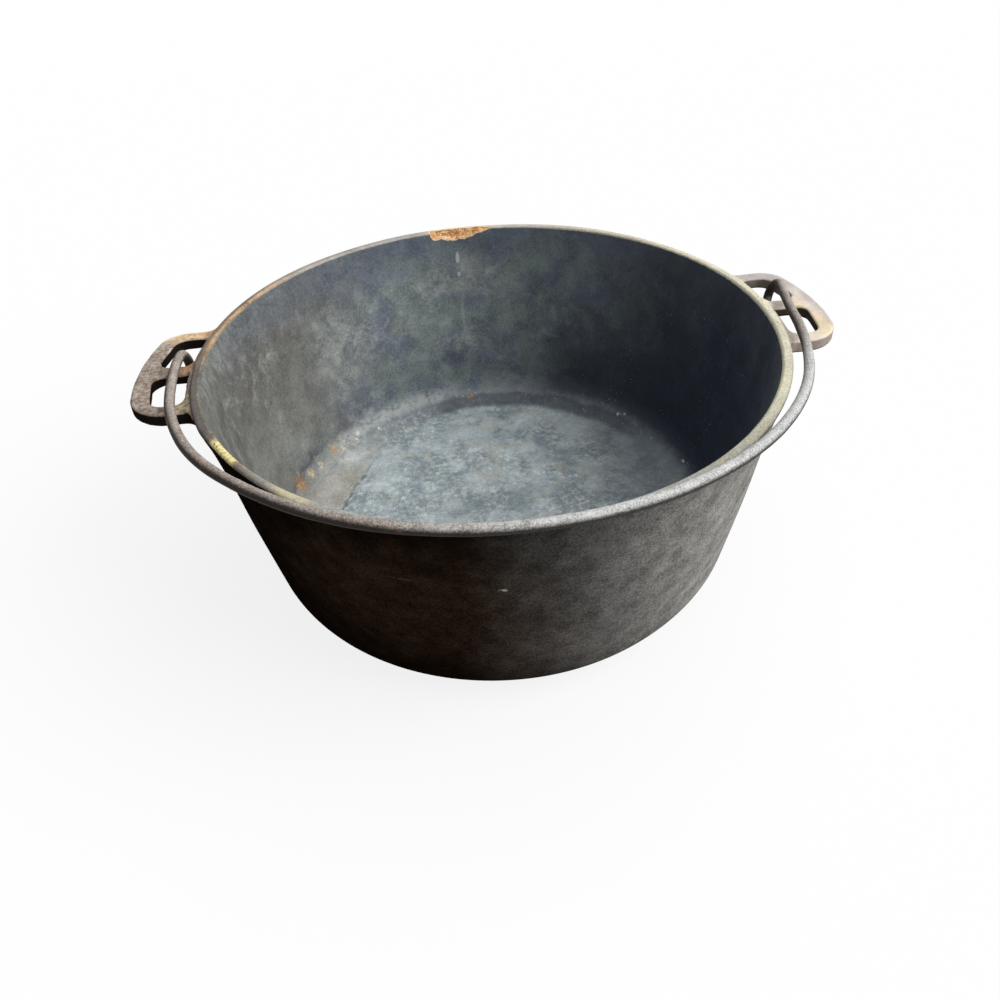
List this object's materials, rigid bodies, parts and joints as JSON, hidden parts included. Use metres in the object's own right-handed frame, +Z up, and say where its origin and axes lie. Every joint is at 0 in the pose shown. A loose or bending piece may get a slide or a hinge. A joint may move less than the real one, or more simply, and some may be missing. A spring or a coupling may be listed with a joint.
{
  "type": "dutch oven",
  "caption": "Round cast iron cooking pot with flared walls, a plain rim, two pierced ears and a bent wire bail that swings over the mouth.",
  "frame": {"origin": "middle of the flat base, on the ground", "axes": "+Z up out of the mouth, +X from ear to ear, the bail folded forward towards -Y"},
  "size_m": [0.322, 0.2725, 0.1201],
  "materials": {
    "iron": "seasoned, worn to bare metal and rust at the rim and ears",
    "wire": "bare drawn steel wire, grey-brown with age"
  },
  "bodies": {
    "pot": {"pot": "iron"},
    "bail": {"bail": "wire"}
  },
  "joints": [
    {"name": "bail_swing", "type": "hinge", "parent": "pot", "child": "bail", "pos_m": [0, 0, 0.1075], "axis": [-1, 0, 0], "range_deg": [0, 150]}
  ]
}
